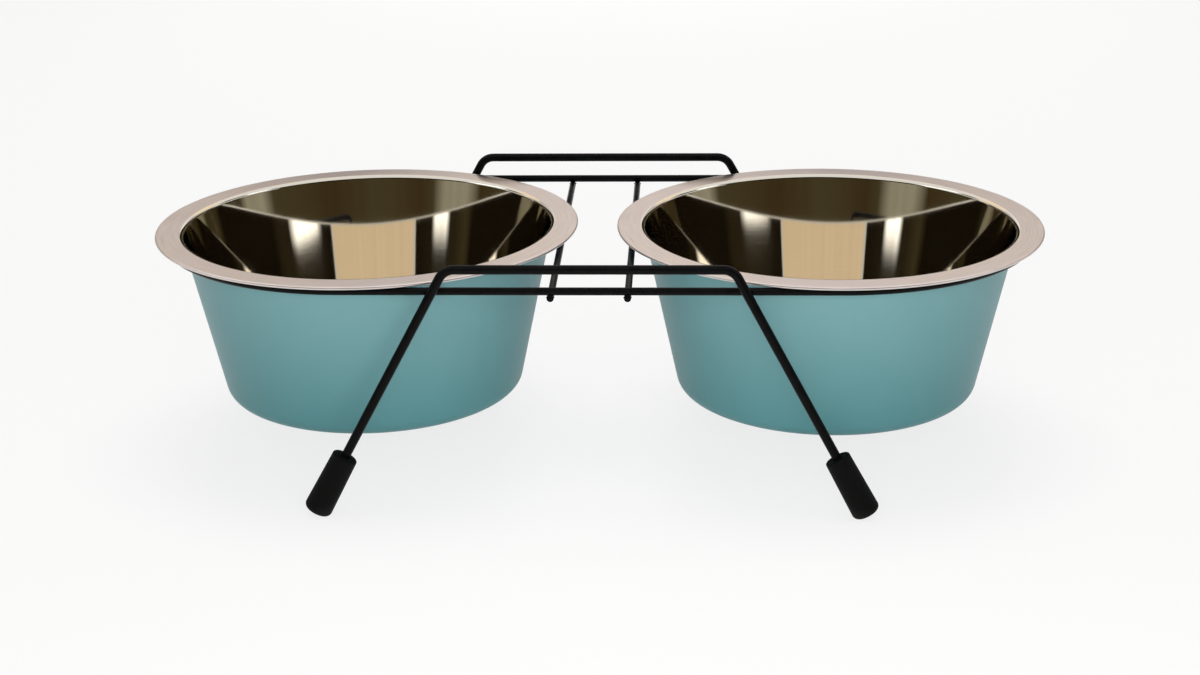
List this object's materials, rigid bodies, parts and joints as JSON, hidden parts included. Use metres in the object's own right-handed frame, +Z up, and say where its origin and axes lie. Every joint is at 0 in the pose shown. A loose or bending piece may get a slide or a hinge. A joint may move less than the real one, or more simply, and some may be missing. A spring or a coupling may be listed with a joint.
{
  "type": "double pet bowl",
  "caption": "Double pet bowl: pressed steel bowls with flat rims hang side by side in a low welded wire stand with splayed legs and rubber feet, and lift out for cleaning.",
  "frame": {"origin": "on the floor, below the middle of the stand, half way between the bowls", "axes": "+X from the left bowl to the right bowl, -Y to the front, +Z up"},
  "size_m": [0.335, 0.1798, 0.0904],
  "materials": {
    "bowl": "satin blue-green paint outside, bare satin steel rim, mirror-polished steel inside",
    "wire": "black coating with a soft gloss",
    "foot": "matte black moulded rubber"
  },
  "bodies": {
    "stand": {"bowl_rail": "wire", "left_cross_wire": "wire", "right_cross_wire": "wire", "front_leg_wire": "wire", "rear_leg_wire": "wire", "front_left_foot": "foot", "front_right_foot": "foot", "rear_left_foot": "foot", "rear_right_foot": "foot"},
    "left_bowl": {"left_bowl": "bowl"},
    "right_bowl": {"right_bowl": "bowl"}
  },
  "joints": [
    {"name": "left_bowl_lift", "type": "slide", "parent": "stand", "child": "left_bowl", "axis": [0, 0, 1], "range_m": [0, 0.09]},
    {"name": "right_bowl_lift", "type": "slide", "parent": "stand", "child": "right_bowl", "axis": [0, 0, 1], "range_m": [0, 0.09]}
  ]
}
